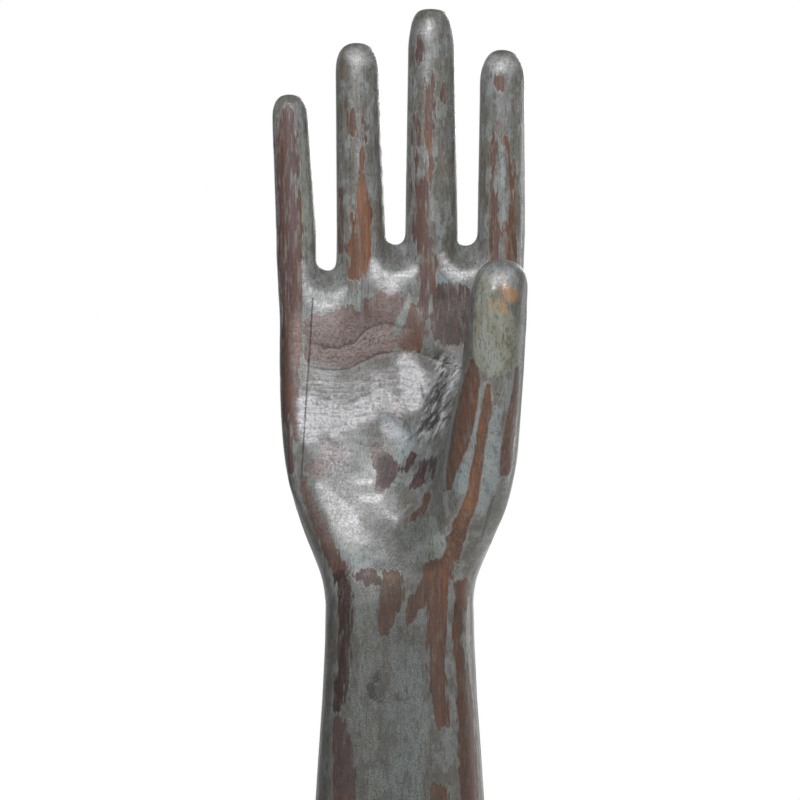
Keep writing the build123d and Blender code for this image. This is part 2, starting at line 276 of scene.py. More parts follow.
# Paint that held: 0 pale blue, 0.5 grey, 1 olive
HELD_PAINT = {
    "diamond": (0.0, [(-6.5, 252.4, 1.8), (-1.4, 248.8, 4.0), (2.2, 245.2, 4.0), (0.7, 240.2, 2.2),
        (0.0, 236.9, 0.7)]),
    "pale_strip": (0.4, [(4.7, 297.8, 1.1), (2.9, 293.8, 1.4), (0.0, 287.7, 1.8),
        (-2.2, 283.4, 1.1)]),
    "pale_sliver": (0.4, [(-14.4, 298.1, 0.9), (-14.8, 292.7, 1.3)]),
    "index_blue": (0.0, [(36.7, 350.3, 1.1), (36.7, 336.6, 1.3), (36.7, 324.4, 1.3),
        (37.1, 320.4, 0.7)]),
    "index_root": (0.0, [(14.4, 303.5, 1.8), (18.7, 302.8, 1.8)]),
    "little_side": (0.6, [(-33.8, 353.2, 1.8), (-33.8, 335.2, 2.2), (-33.5, 320.8, 2.2),
        (-33.8, 309.3, 2.2)]),
    "heel_pale": (0.15, [(-20.2, 204.2, 2.2), (-14.4, 203.1, 2.9), (-8.6, 201.3, 1.8)]),
    "palm_patch": (0.35, [(-14.4, 244.5, 2.9), (-14.4, 231.5, 2.9)]),
    "heel_green": (0.5, [(11.5, 215.0, 2.9), (5.4, 211.4, 5.0), (10.8, 207.4, 5.8),
        (4.3, 201.3, 3.2)]),
    "thumb_olive": (0.9, [(31.0, 301.7, 2.9), (32.4, 293.8, 5.0), (34.6, 284.8, 8.6),
        (34.9, 276.9, 8.6)]),
    "arm_panel": (0.3, [(1.8, 167.8, 5.0), (3.6, 151.6, 6.8), (2.9, 133.6, 6.8),
        (1.8, 115.6, 5.8)]),
    "arm_left": (0.55, [(-12.6, 184.0, 3.6), (-10.8, 169.6, 3.6), (-11.5, 144.4, 3.2),
        (-9.0, 119.2, 2.9)]),
    "thumb_patch": (0.1, [(23.0, 235.1, 1.8), (21.6, 228.6, 2.9)]),
    "thumb_strip": (0.2, [(28.8, 263.9, 0.4), (28.1, 256.0, 0.4), (26.8, 247.0, 0.6),
        (25.6, 239.8, 0.8)]),
    "thumb_side": (0.2, [(34.9, 256.0, 1.8), (33.8, 243.4, 2.5), (32.4, 230.8, 2.5),
        (29.5, 220.0, 2.2)]),
}

# Surface worn silvery by hands, partly real wear and partly painted sheen, highlights and glints, and how
# strongly
RUBBED_AND_PAINTED_SHEEN = {
    "palm": (0.42, [(-28.1, 265.4, 5.8), (-24.5, 249.5, 8.3), (-21.6, 235.8, 6.1),
        (-18.0, 220.0, 4.7)]),
    "below_growth": (0.42, [(-30.2, 264.6, 3.6), (-19.8, 263.9, 4.7), (-8.6, 266.1, 4.7),
        (-1.4, 266.8, 3.6)]),
    "palm_glint": (1.5, [(-33.8, 258.2, 2.5), (-32.4, 247.4, 2.9)]),
    "palm_upper": (0.92, [(-28.8, 255.3, 4.7), (-22.3, 252.4, 5.4), (-12.2, 256.7, 4.3)]),
    "grain": (0.75, [(-7.2, 261.0, 4.3), (-0.7, 257.4, 2.9)]),
    "palm_dome": (1.2, [(2.2, 272.6, 2.9), (4.7, 266.1, 4.3), (4.3, 258.9, 2.9)]),
    "dome_glint": (1.05, [(6.5, 268.2, 1.4), (8.3, 263.2, 1.4)]),
    "diamond_sheen": (0.5, [(-5.0, 250.2, 2.2), (0.0, 245.9, 2.5)]),
    "low_streak": (0.6, [(-27.4, 228.6, 2.5), (-23.0, 221.8, 3.2), (-18.7, 215.7, 3.6),
        (-14.4, 210.6, 2.5)]),
    "low_core": (0.85, [(-21.6, 223.6, 1.1), (-18.0, 219.3, 1.4), (-15.5, 215.0, 1.4)]),
    "low_right": (0.25, [(-7.9, 222.9, 3.6), (-2.9, 218.6, 3.6)]),
    # Painted glints across the lower palm
    "glint_high": (0.95, [(-15.1, 230.1, 0.9), (-10.8, 230.4, 0.9)]),
    "glint_middle": (1.0, [(-13.3, 224.7, 1.4), (-7.6, 224.3, 1.1)]),
    "glint_low": (0.8, [(-5.4, 219.3, 1.1), (-1.4, 216.8, 0.9)]),
    "palm_step": (0.1, [(13.0, 276.9, 1.8), (20.9, 275.4, 2.2)]),
    # Painted highlights along the rims of the scoops between the fingers
    "web_ring": (0.62, [(-9.4, 309.3, 1.1), (-7.9, 304.2, 2.2), (-3.6, 301.0, 2.9),
        (0.7, 303.2, 1.8), (5.0, 306.4, 1.1)]),
    "web_crest": (0.7, [(-5.8, 301.4, 1.1), (-2.2, 300.6, 1.1)]),
    "rim_little": (0.36, [(-34.9, 309.3, 0.7), (-33.8, 301.0, 1.4), (-32.0, 296.0, 1.8),
        (-28.8, 293.4, 2.2), (-25.2, 294.2, 1.8), (-22.0, 296.7, 1.4), (-19.8, 299.9, 0.7)]),
    "rim_crest": (0.5, [(-32.8, 296.0, 0.5), (-29.2, 292.7, 0.7), (-24.8, 293.8, 0.5)]),
    "rim_index": (0.6, [(15.5, 311.4, 1.1), (16.9, 307.1, 1.8), (20.9, 304.2, 1.8),
        (25.9, 305.3, 1.1)]),
    "ulnar": (0.12, [(-37.4, 289.1, 1.8), (-37.4, 271.8, 1.8)]),
    # Painted highlights and glints on the finger and thumb tips
    "tip_ring": (0.35, [(-17.3, 383.4, 2.2), (-12.2, 382.7, 2.5)]),
    "thumb_shine": (1.1, [(33.8, 301.4, 0.6), (33.8, 299.9, 0.6)]),
    "thumb_glint": (1.1, [(37.4, 301.4, 0.6), (38.2, 299.9, 0.6)]),
    "thumb_crown": (0.2, [(31.7, 304.2, 2.2), (38.2, 304.2, 2.5)]),
    "tip_middle": (0.2, [(7.2, 392.8, 2.2), (11.5, 392.8, 2.5)]),
    "tip_glint": (0.8, [(9.4, 392.4, 0.6), (11.2, 393.9, 0.6)]),
    "tip_index": (0.35, [(33.8, 380.6, 2.2), (39.6, 379.8, 2.5)]),
}

# Dirt in the hollows, partly real and partly painted shade, and how strongly
GRIME_AND_PAINTED_SHADE = {
    "step": (0.45, [(13.0, 276.2, 2.2), (20.9, 274.7, 2.2)]),
    # Painted shade in the valley beside the thumb and in the scoops between the fingers
    "valley": (0.4, [(14.4, 265.4, 1.8), (13.0, 257.8, 2.2), (10.1, 248.8, 2.2), (13.7, 241.6, 3.2),
        (11.5, 235.8, 2.9)]),
    "leaf": (0.4, [(3.6, 236.6, 2.5), (8.6, 234.4, 3.2), (15.1, 232.2, 2.9)]),
    "valley_edge": (0.6, [(20.9, 265.0, 1.4), (18.7, 248.8, 1.8), (16.6, 234.4, 1.8)]),
    "web_little": (0.25, [(-28.4, 305.7, 2.5), (-27.0, 301.0, 2.9)]),
    "web_ring": (0.5, [(-4.3, 313.6, 2.2), (-1.4, 310.0, 2.2)]),
    "web_index": (0.3, [(22.3, 312.9, 2.5), (22.7, 309.3, 2.2)]),
    "maroon": (0.55, [(-5.8, 237.3, 2.5), (-5.0, 231.5, 2.2)]),
    "palm_right": (0.5, [(16.6, 296.7, 3.6), (18.7, 289.1, 5.0), (18.0, 282.6, 4.0)]),
    "ulnar_low": (0.3, [(-36.0, 245.2, 2.2), (-33.8, 227.2, 2.5), (-28.8, 212.8, 2.5)]),
    # Painted shade along the left flank, the side away from the light
    "left_flank": (0.45, [(-42.8, 286.6, 1.1), (-42.8, 281.2, 1.4), (-42.8, 259.6, 1.4),
        (-41.0, 238.0, 1.4), (-36.7, 220.0, 1.4), (-31.0, 205.6, 1.4)]),
    # Painted shade: the arm and the heel darker towards the bottom, with some dirt
    "arm_painted_shade": (0.62, [(-4.3, 173.2, 18.7), (-5.4, 115.6, 23.0)]),
    "heel_dirt_and_shade": (0.5, [(-7.9, 193.4, 3.2), (-2.9, 190.5, 4.0), (8.6, 191.2, 4.0)]),
    "heel_band": (0.65, [(-7.9, 199.8, 2.2), (-0.7, 199.8, 2.5), (6.5, 199.1, 2.5)]),
    "wrist_band": (0.4, [(-17.3, 190.5, 2.2), (-11.5, 191.2, 2.5)]),
    "heel_low": (0.6, [(6.5, 213.5, 4.7), (0.0, 203.4, 4.3), (10.1, 202.0, 4.0)]),
    "heel_side": (0.3, [(-18.7, 203.4, 2.9), (-10.1, 201.3, 3.2)]),
    "wrist": (0.35, [(-13.7, 191.9, 3.2), (-13.0, 173.2, 3.2)]),
    "arm_chip": (0.7, [(-8.6, 159.5, 1.1), (-10.4, 152.7, 1.4), (-7.2, 153.0, 0.7)]),
    # Painted shade on the arm's sides
    "arm_right": (0.3, [(22.3, 184.0, 3.2), (23.0, 151.6, 3.6), (24.5, 119.2, 4.0)]),
    "arm_flank": (0.5, [(-24.8, 187.6, 2.2), (-25.9, 151.6, 2.2), (-28.1, 115.6, 2.9)]),
}

# Old varnish showing amber
AMBER = {
    "thumb_end": (0.7, [(37.8, 299.9, 1.8), (40.0, 297.4, 2.2)]),
    "thumb_side": (0.35, [(32.8, 294.5, 1.1), (33.5, 292.4, 0.9)]),
    "thumb_streak": (0.18, [(26.6, 232.2, 0.9), (25.2, 224.3, 1.3), (22.3, 216.4, 1.3)]),
    "thumb_drip": (0.55, [(36.7, 294.5, 1.4), (37.1, 291.6, 1.1)]),
}

# The palm, cut across the grain
CROSS_CUT = {
    "upper": (1.0, [(-28.1, 286.6, 7.2), (-23.4, 279.4, 9.4), (-8.6, 279.4, 7.2)]),
    "middle": (1.0, [(-27.0, 263.2, 7.9), (-18.0, 261.4, 10.8), (-2.9, 265.0, 7.2)]),
    "centre": (0.7, [(-5.4, 293.8, 4.3), (-2.9, 286.6, 5.8), (-5.8, 281.2, 5.0)]),
    "palm": (1.0, [(-28.8, 248.8, 6.5), (-18.0, 245.2, 10.1), (-6.5, 247.0, 5.8)]),
    "low": (1.0, [(-25.2, 230.8, 7.9), (-19.8, 218.2, 8.6), (-7.2, 215.7, 7.2)]),
}

# The valley beside the thumb, where the gouge has left furrows, drawn with painted light on the ridges and
# painted shade in the furrows
GOUGED = {
    "valley": (1.0, [(15.1, 274.7, 3.2), (18.0, 269.7, 3.6), (14.4, 259.6, 4.0),
        (10.1, 249.5, 3.6)]),
    "step": (0.12, [(11.5, 277.6, 2.2), (20.9, 274.0, 2.2)]),
}

# Growth lines across the palm, from the fingers down: across and up
GROWTH_LINES = {
    "above": [(-36.0, 302.1), (-27.7, 299.9), (-21.6, 299.9), (-10.8, 307.8), (7.2, 309.3)],
    "high": [(-36.0, 280.8), (-31.7, 280.1), (-29.2, 279.4), (-27.7, 278.0), (-25.2, 278.7),
        (-22.3, 278.0), (-20.2, 279.2), (-16.6, 280.1), (-14.4, 282.6), (-11.5, 285.5),
        (-5.4, 287.7), (0.7, 285.5)],
    "low": [(-36.0, 272.6), (-28.8, 271.1), (-25.9, 270.6), (-21.6, 270.6), (-18.0, 271.1),
        (-15.1, 273.1), (-11.5, 274.7), (-8.6, 276.3), (0.0, 277.2), (7.2, 276.5), (14.4, 273.6),
        (22.0, 270.8)],
    "lower": [(-36.0, 261.8), (-28.1, 261.0), (-24.5, 260.0), (-20.2, 260.3), (-17.3, 259.6),
        (-12.2, 262.1), (-7.2, 265.0), (0.7, 265.7), (7.2, 263.2)],
    "below": [(-36.0, 247.4), (-29.5, 246.3), (-21.6, 244.1), (-17.3, 244.8), (-8.6, 243.0),
        (0.7, 245.2)],
}

# Cracks and tool cuts
DARK_LINES = {
    "stave_branch": [(-38.2, 251.7, 0.2), (-34.9, 250.6, 0.2)],
    "valley_line": [(7.2, 276.5, 0.35), (14.4, 273.6, 0.35), (22.0, 270.8, 0.35)],
    "chip": [(7.6, 264.3, 0.5), (8.3, 260.7, 0.5)],
    "gouge_left": [(2.2, 244.5, 0.3), (7.2, 248.8, 0.3), (11.9, 254.2, 0.3)],
    "gouge_right": [(10.1, 251.0, 0.3), (18.7, 253.8, 0.3)],
    "arm_chip_high": [(-8.3, 161.3, 0.9), (-8.6, 158.4, 0.9)],
    "arm_chip": [(-10.8, 155.9, 1.2), (-10.1, 152.7, 1.2)],
    "arm_chip_low": [(-9.4, 152.3, 0.8), (-7.2, 150.5, 0.8)],
    "thumb_flank": [(33.5, 224.7, 0.3), (31.7, 218.2, 0.3), (29.5, 211.0, 0.3)],
}

# The back, worn as the front is
BACK_WOOD = {
    "little": (0.35, [(-37.0, 298.0, 4.0), (-38.5, 330.0, 4.0), (-40.0, 352.0, 2.0)]),
    "ring": (0.6, [(-14.0, 294.0, 4.0), (-14.5, 318.0, 4.5), (-15.3, 345.0, 1.5)]),
    "ring_tip": (0.4, [(-15.6, 360.0, 1.5), (-16.0, 378.0, 2.2)]),
    "middle": (0.5, [(11.0, 298.0, 4.5), (10.5, 330.0, 4.5), (11.0, 352.0, 1.5)]),
    "middle_tip": (0.3, [(12.5, 372.0, 2.2), (11.5, 390.0, 2.8)]),
    "index": (0.7, [(36.0, 294.0, 4.5), (36.2, 322.0, 4.0), (36.6, 346.0, 1.5)]),
    "knuckles": (0.35, [(-26.0, 288.0, 4.0), (-12.0, 294.0, 5.0), (4.0, 296.0, 5.0), (34.0, 293.0, 4.0)]),
    "palm": (0.4, [(-20.0, 262.0, 8.0), (-4.0, 256.0, 13.0), (10.0, 246.0, 12.0), (20.0, 232.0, 7.0)]),
    "heel": (0.3, [(-26.0, 236.0, 4.0), (-20.0, 222.0, 5.0), (-12.0, 206.0, 4.0)]),
    "wrist": (0.55, [(-2.0, 202.0, 5.0), (-3.0, 186.0, 4.5), (-2.0, 166.0, 3.0)]),
    "wrist_right": (0.5, [(12.0, 196.0, 3.5), (14.0, 174.0, 4.5), (15.5, 128.0, 2.0)]),
    "left_ridge": (0.5, [(-22.0, 190.0, 4.0), (-22.0, 140.0, 3.5), (-26.0, 70.0, 5.0), (-31.0, 0.0, 7.0)]),
    "right_ridge": (0.55, [(22.0, 188.0, 3.5), (23.0, 120.0, 4.5), (28.0, 50.0, 5.5), (31.0, 0.0, 7.0)]),
    "arm": (0.6, [(-6.0, 124.0, 2.5), (-7.0, 90.0, 4.5), (-7.0, 42.0, 2.5)]),
    "arm_low": (0.5, [(8.0, 74.0, 3.0), (9.0, 40.0, 5.0), (9.0, 0.0, 7.0)]),
}

# The arm's lower end
LOW_WOOD = {
    "low_left": (0.5, [(-19.8, 118.0, 4.3), (-22.0, 90.0, 4.0), (-27.0, 30.0, 6.0), (-29.0, 0.0, 7.0)]),
    "low_right": (0.6, [(25.2, 118.0, 3.6), (26.0, 90.0, 4.0), (29.0, 40.0, 6.0), (31.0, 0.0, 7.0)]),
    "low_middle": (0.5, [(2.0, 96.0, 2.0), (3.0, 66.0, 4.5), (1.0, 34.0, 4.0), (2.0, 18.0, 2.0)]),
    "foot_left": (0.4, [(-13.0, 42.0, 2.0), (-12.0, 16.0, 5.0), (-12.0, 0.0, 6.0)]),
    "foot_right": (0.55, [(14.0, 118.0, 2.9), (15.0, 104.0, 3.0), (15.0, 92.0, 1.5)]),
}

# How the marks act on the points

# Depths in millimetres: FAR_OFF is outside any ragged edge, and deeper than DEEPEST is all the same
FAR_OFF, OUT_OF_REACH = 9.0, 99.0
DEEPEST, CRACK_DEEPEST = 6.0, 3.0

# How much a point faces the front or the back, and how a mark fades, as a share of its half width
FACING = 0.0, 0.4
MARK_FADE = -1.9, -0.3

# Random bare patches on the flanks and the back: size and depth in millimetres
FLANK_SIZE, FLANK_DEPTH, FLANK_SHALLOW = (9, 9, 60), 7, 1.2
BACK_SIZES = [((5, 20, 45), 6), ((14, 20, 24), 5)]
BACK_DEPTH = -7, 1.5
FOOT_WEAR, FOOT_WEAR_SLOPE = 3.0, 0.6

# Heights over which the palm's worn paint passes into the fingers' thin, frayed paint
TO_FINGERS = 270, 310
PALM_THIN, PALM_FRAY, THUMB_FRAY = 0.35, 0.65, 0.22

# Fingertips seen from the side, the ends of the growth lines, and painted shade on the sides away from the
# light
CROWN_FACING = 0.55, 0.9
GROWTH_START, GROWTH_END = 0.24, 1.4
LEFT_SHADE, LEFT_SHADE_FACING, LEFT_SHADE_TOP = 0.35, (0.6, 0.95), (285, 305)
THUMB_SHADE, THUMB_SHADE_FACING, THUMB_SHADE_FROM = 0.5, (0.5, 0.9), (240, 270)

# Where the stave's glue line shows on the palm
GLUE_LINE_LOW, GLUE_LINE_HIGH, GLUE_LINE_RIGHT = 232, 297, -15


def reach(flat, path):
    """Half width of a mark where each point is nearest to it, and how far off the point lies."""
    half, away = np.ones(len(flat)), np.full(len(flat), OUT_OF_REACH)
    for (x0, z0, r0), (x1, z1, r1) in zip(path, path[1:]):
        run = np.array([x1 - x0, z1 - z0])
        share = np.clip((flat - (x0, z0)) @ run / (run @ run), 0, 1)
        here_half = r0 + share * (r1 - r0)
        here_away = np.linalg.norm(flat - (x0, z0) - share[:, None] * run, axis=1)
        nearer = here_half - here_away > half - away
        half, away = np.where(nearer, here_half, half), np.where(nearer, here_away, away)
    return half, away


def depth_in(flat, path):
    """How deep each point lies in a mark, in millimetres."""
    half, away = reach(flat, path)
    return np.maximum(half - away, -FAR_OFF)


def deepest(flat, marks, bearing):
    """Depth in the nearest mark, and that mark's value. Marks of the thumb stay on the thumb."""
    depth = np.full(len(flat), -FAR_OFF)
    value = np.full(len(flat), 0.5)
    for name, (mark, path) in marks.items():
        here = np.where(bearing[name.startswith("thumb")], depth_in(flat, path), -FAR_OFF)
        value = np.where(here > depth, mark, value)
        depth = np.maximum(depth, here)
    return depth, value


def strongest(flat, marks, bearing):
    """Strength of the marks at each point. A mark fades over its half width and blends into the next."""
    strength = np.zeros(len(flat))
    for name, (mark, path) in marks.items():
        half, away = reach(flat, path)
        here = mark * ease(-away / half, *MARK_FADE)
        strength += np.where(bearing[name.startswith("thumb")], here, 0) ** 3
    return np.cbrt(strength)


def blotches(places, size, depth):
    """Random patches of this size, in millimetres."""
    return np.array([depth * noise.noise(Vector(place)) for place in places / size])


def growth_level(flat):
    """How many growth lines of the palm each point lies below, with the share to the next."""
    heights = [np.interp(flat[:, 0], *zip(*curve)) for curve in GROWTH_LINES.values()]
    level = np.zeros(len(flat))
    for index, (high, low) in enumerate(zip(heights, heights[1:])):
        lowest = -FAR_OFF if index == 0 else 0
        highest = GROWTH_END if index == len(heights) - 2 else 1
        level += np.clip((high - flat[:, 1]) / (high - low), lowest, highest)
    return level - GROWTH_START


def is_thumb(places):
    """Which places belong to the thumb's block."""
    seated = (across_joint(places, THUMB_SEAT) > 0) & (places[:, 0] > 0)
    return np.where(places[:, 2] < THUMB_FREE, seated, places[:, 1] < THUMB_BACK)


def give(piece, name, values):
    """Stores one value a point, for the finish to read."""
    store = piece.data.attributes.new(name, "FLOAT", "POINT")
    store.data.foreach_set("value", np.asarray(values, dtype=np.float32))


places, turned = points(hand), facing(hand)
up = places[:, 2]
near = CAMERA_AWAY / (CAMERA_AWAY + places[:, 1])
front = np.column_stack([places[:, 0] * near, CAMERA_UP + (up - CAMERA_UP) * near])
rear = places[:, [0, 2]]
to_front, to_back = ease(-turned[:, 1], *FACING), ease(turned[:, 1], *FACING)
thumb_points, root = is_thumb(places), up < THUMB_ROOT
bearing = {True: thumb_points | root, False: ~thumb_points | root}

front_depth, front_warmth = deepest(front, {**BARE_WOOD, **LOW_WOOD}, bearing)
back_depth, back_warmth = deepest(rear, BACK_WOOD, bearing)
back_depth = np.clip(back_depth, *BACK_DEPTH) + sum(blotches(places, *patch) for patch in BACK_SIZES)
flank_depth = blotches(places, FLANK_SIZE, FLANK_DEPTH) - FLANK_SHALLOW
held_depth, held_tone = deepest(front, HELD_PAINT, bearing)
held_depth = held_depth - FAR_OFF * (1 - to_front)
bare = np.maximum(front_depth - FAR_OFF * (1 - to_front), back_depth - FAR_OFF * (1 - to_back))
bare = np.maximum(bare, flank_depth - FAR_OFF * np.maximum(to_front, to_back))
bare = np.minimum(bare, -held_depth)
bare = np.maximum(bare, FOOT_WEAR - up * FOOT_WEAR_SLOPE)
give(hand, "bare_wood", np.clip(bare, -DEEPEST, DEEPEST))
give(hand, "warmth", np.where(to_front > 0.5, front_warmth, back_warmth))
give(hand, "held_paint", np.clip(held_depth, -DEEPEST, DEEPEST))
give(hand, "paint_tone", held_tone)

to_fingers = ease(up, *TO_FINGERS)
give(hand, "thin_paint", PALM_THIN + (1 - PALM_THIN) * to_fingers)
fray = np.maximum(PALM_FRAY + (1 - PALM_FRAY) * to_fingers, to_back)
give(hand, "fray", np.where(thumb_points, THUMB_FRAY, fray))
give(hand, "crown", ease(turned[:, 2], *CROWN_FACING))
give(hand, "growth", growth_level(front))
# The silvery marks carry real wear and painted sheen, highlights and glints
strengths = {"rubbed": RUBBED_AND_PAINTED_SHEEN, "cross_cut": CROSS_CUT, "gouged": GOUGED, "amber": AMBER}
for name, marks in strengths.items():
    give(hand, name, strongest(front, marks, bearing) * to_front)

# Painted shade on the left-facing sides and on the thumb's right side, joined with the dirt and painted
# shade of the marks
left_shade = LEFT_SHADE * ease(-turned[:, 0], *LEFT_SHADE_FACING) * (1 - ease(up, *LEFT_SHADE_TOP))
thumb_shade = THUMB_SHADE * ease(turned[:, 0], *THUMB_SHADE_FACING) * ease(up, *THUMB_SHADE_FROM)
shade = np.maximum(left_shade, thumb_shade * thumb_points)
give(hand, "grime", np.maximum(strongest(front, GRIME_AND_PAINTED_SHADE, bearing) * to_front, shade))

cracks = np.max([depth_in(front, path) for path in DARK_LINES.values()], axis=0)
cracks = cracks - FAR_OFF * (1 - to_front)
give(hand, "dark_line", np.clip(cracks, -CRACK_DEEPEST, CRACK_DEEPEST))
glued = (up > GLUE_LINE_LOW) & (up < GLUE_LINE_HIGH) & (places[:, 0] < GLUE_LINE_RIGHT)
give(hand, "glue_line", np.where(glued, across_joint(places, STAVE_JOINT), FAR_OFF))

# The three glued pieces


def select_faces(piece, chosen):
    """Opens the piece for editing with only the chosen faces selected."""
    middles = read(piece.data.polygons, "center") / MM
    piece.data.polygons.foreach_set("select", chosen(middles))
    bpy.ops.object.mode_set(mode="EDIT")
    bpy.ops.mesh.select_mode(type="FACE")


def cut_off(piece, joint, near_joint, beyond):
    """Cuts the piece along a joint and parts what lies beyond it, with both cut faces closed."""
    pick(piece)
    point, normal = joint
    select_faces(piece, near_joint)
    bpy.ops.mesh.bisect(plane_co=[c * MM for c in point], plane_no=normal)
    bpy.ops.mesh.select_all(action="DESELECT")
    bpy.ops.object.mode_set(mode="OBJECT")
    select_faces(piece, beyond)
    bpy.ops.mesh.separate(type="SELECTED")
    bpy.ops.object.mode_set(mode="OBJECT")
    part = next(o for o in bpy.context.selected_objects if o is not piece)
    for half in (piece, part):
        pick(half)
        bpy.ops.object.mode_set(mode="EDIT")
        bpy.ops.mesh.select_mode(type="EDGE")
        bpy.ops.mesh.select_all(action="DESELECT")
        bpy.ops.mesh.select_non_manifold()
        bpy.ops.mesh.fill()
        bpy.ops.object.mode_set(mode="OBJECT")
    return part


def is_stave_side(places):
    """Which places lie on the little finger's side, above the stave's foot."""
    return (places[:, 2] > STAVE_FOOT) & (places[:, 0] < STAVE_REACH)


def is_stave(places):
    """Which places belong to the little finger's stave."""
    return is_stave_side(places) & (across_joint(places, STAVE_JOINT) < 0)


def is_thumb_side(places):
    """Which places lie around the thumb's seat, on the palm's right."""
    return (places[:, 2] < THUMB_FREE) & (places[:, 0] > 0) & (places[:, 1] < 0)


stave = cut_off(hand, STAVE_JOINT, is_stave_side, is_stave)
thumb = cut_off(hand, THUMB_SEAT, is_thumb_side, is_thumb)

# Finishes

# What the worn paint reads from each point
MARKS = ["bare_wood", "warmth", "held_paint", "paint_tone", "thin_paint", "rubbed", "grime", "dark_line"]
MARKS += ["cross_cut", "growth", "gouged", "glue_line", "amber", "fray", "crown"]

# Each pattern's width and length along the arm in millimetres, its detail, roughness, shift and turn.
# Real fibres, pores and scratches are finer than half a millimetre, so they are drawn coarser to show.
GRAINS = {
    "fibre": (0.5, 16, 3, 0.5),
    "streak": (1.6, 30, 4, 0.6),
    "patch": (1.5, 9, 3, 0.6),
    "flake": (1.5, 6, 3, 0.55, (7, 3, 5)),
    "chip": (4, 8, 5, 0.6, (2, 9, 4)),
    "fleck": (1, 2.5, 5, 0.75),
    "pore": (0.5, 0.5, 3, 0.6),
    "granule": (1, 1, 3, 0.8),
    "mottle": (5, 2.2, 6, 0.65),
    "scratch": (9, 0.6, 3, 0.6, (0, 0, 0), 0.12),
    "cloud": (18, 18, 3, 0.5),
}

# Other patterns and the depth of each relief, in millimetres
RING_SPACING, SAWN_RING_SPACING, SAWN_PORE = 1.1, 2.4, 0.5
GOUGE_WIDTH, GOUGE_LENGTH, GOUGE_LEAN = 1.5, 8, 0.7
DOWEL_FLECK, CARD_TOOTH = 0.8, 2
RELIEF, SAWN_RELIEF, DOWEL_RELIEF = 0.2, 0.2, 0.1

# Length of a band of the wave pattern at a scale of 1
WAVE_LENGTH = 0.314


def paint(code):
    """An sRGB hex colour as linear light."""
    channels = [int(code[i : i + 2], 16) / 255 for i in (1, 3, 5)]
    return [c / 12.92 if c <= 0.04045 else ((c + 0.055) / 1.055) ** 2.4 for c in channels] + [1.0]


def add(tree, kind, links=(), out=0, **settings):
    """Adds a node with its settings and gives back one of its outputs. A list fills its sockets in order, as
    a range's value, from low, from high, to low and to high. Each is linked, or set to a constant."""
    new = tree.nodes.new("ShaderNode" + kind)
    for name, value in settings.items():
        setattr(new, name, value)
    for socket, value in links.items() if isinstance(links, dict) else enumerate(links):
        if isinstance(value, bpy.types.NodeSocket):
            tree.links.new(value, new.inputs[socket])
        else:
            new.inputs[socket].default_value = value
    return new.outputs[out]


def new_finish(name):
    """A new material, its nodes and its shader."""
    finish = bpy.data.materials.new(name)
    finish.use_nodes = True
    return finish, finish.node_tree, finish.node_tree.nodes["Principled BSDF"]


def read_marks(tree):
    """The wear stored on the points."""
    marks = {name: add(tree, "Attribute", out="Fac", attribute_name=name) for name in MARKS}
    return SimpleNamespace(**marks)


def draw_grain(tree, place, width, length, detail, roughness, shift=(0, 0, 0), turn=0):
    """A pattern whose grains are this wide and long, in millimetres."""
    size = (1 / (width * MM), 1 / (width * MM), 1 / (length * MM))
    along = add(tree, "Mapping", [place, shift, (0, turn, 0), size])
    return add(tree, "TexNoise", {"Vector": along, "Scale": 1, "Detail": detail, "Roughness": roughness})


def grow_grain(tree):
    """The patterns of the wood and of the worn paint, and the place they are drawn on."""
    place = add(tree, "TexCoord", out="Object")
    grains = {name: draw_grain(tree, place, *size) for name, size in GRAINS.items()}
    return SimpleNamespace(place=place, **grains)


def wear_through(tree, mark, grain):
    """Where the wood is bare: each mark has an edge ragged by about 2 mm along the grain."""
    ragged = add(tree, "Math", [grain.flake, grain.streak], operation="ADD")
    ragged = add(tree, "MapRange", [ragged, 0.7, 1.3, -2, 2])
    ragged = add(tree, "Math", [ragged, mark.fray], operation="MULTIPLY")
    crumbled = add(tree, "MapRange", [grain.mottle, 0.3, 0.7, -2, 2])
    ragged = add(tree, "Mix", {0: mark.cross_cut, 2: ragged, 3: crumbled})
    frayed = add(tree, "Math", [mark.bare_wood, ragged], operation="ADD")
    through = add(tree, "MapRange", [frayed, -0.4, 0.4])
    veil = add(tree, "MapRange", [mark.thin_paint, PALM_THIN, 1, 0.78, 0.45])
    left_over = add(tree, "MapRange", [grain.patch, 0.36, 0.48, veil])
    left_over = add(tree, "Math", [left_over, mark.cross_cut], operation="MAXIMUM")
    through = add(tree, "Math", [through, left_over], operation="MULTIPLY")
    thinned = add(tree, "MapRange", [grain.patch, 0.54, 0.6, 0, 0.4])
    thinned = add(tree, "Math", [thinned, mark.thin_paint], operation="MULTIPLY")
    wood = add(tree, "Math", [through, thinned], operation="MAXIMUM")
    return ragged, frayed, wood


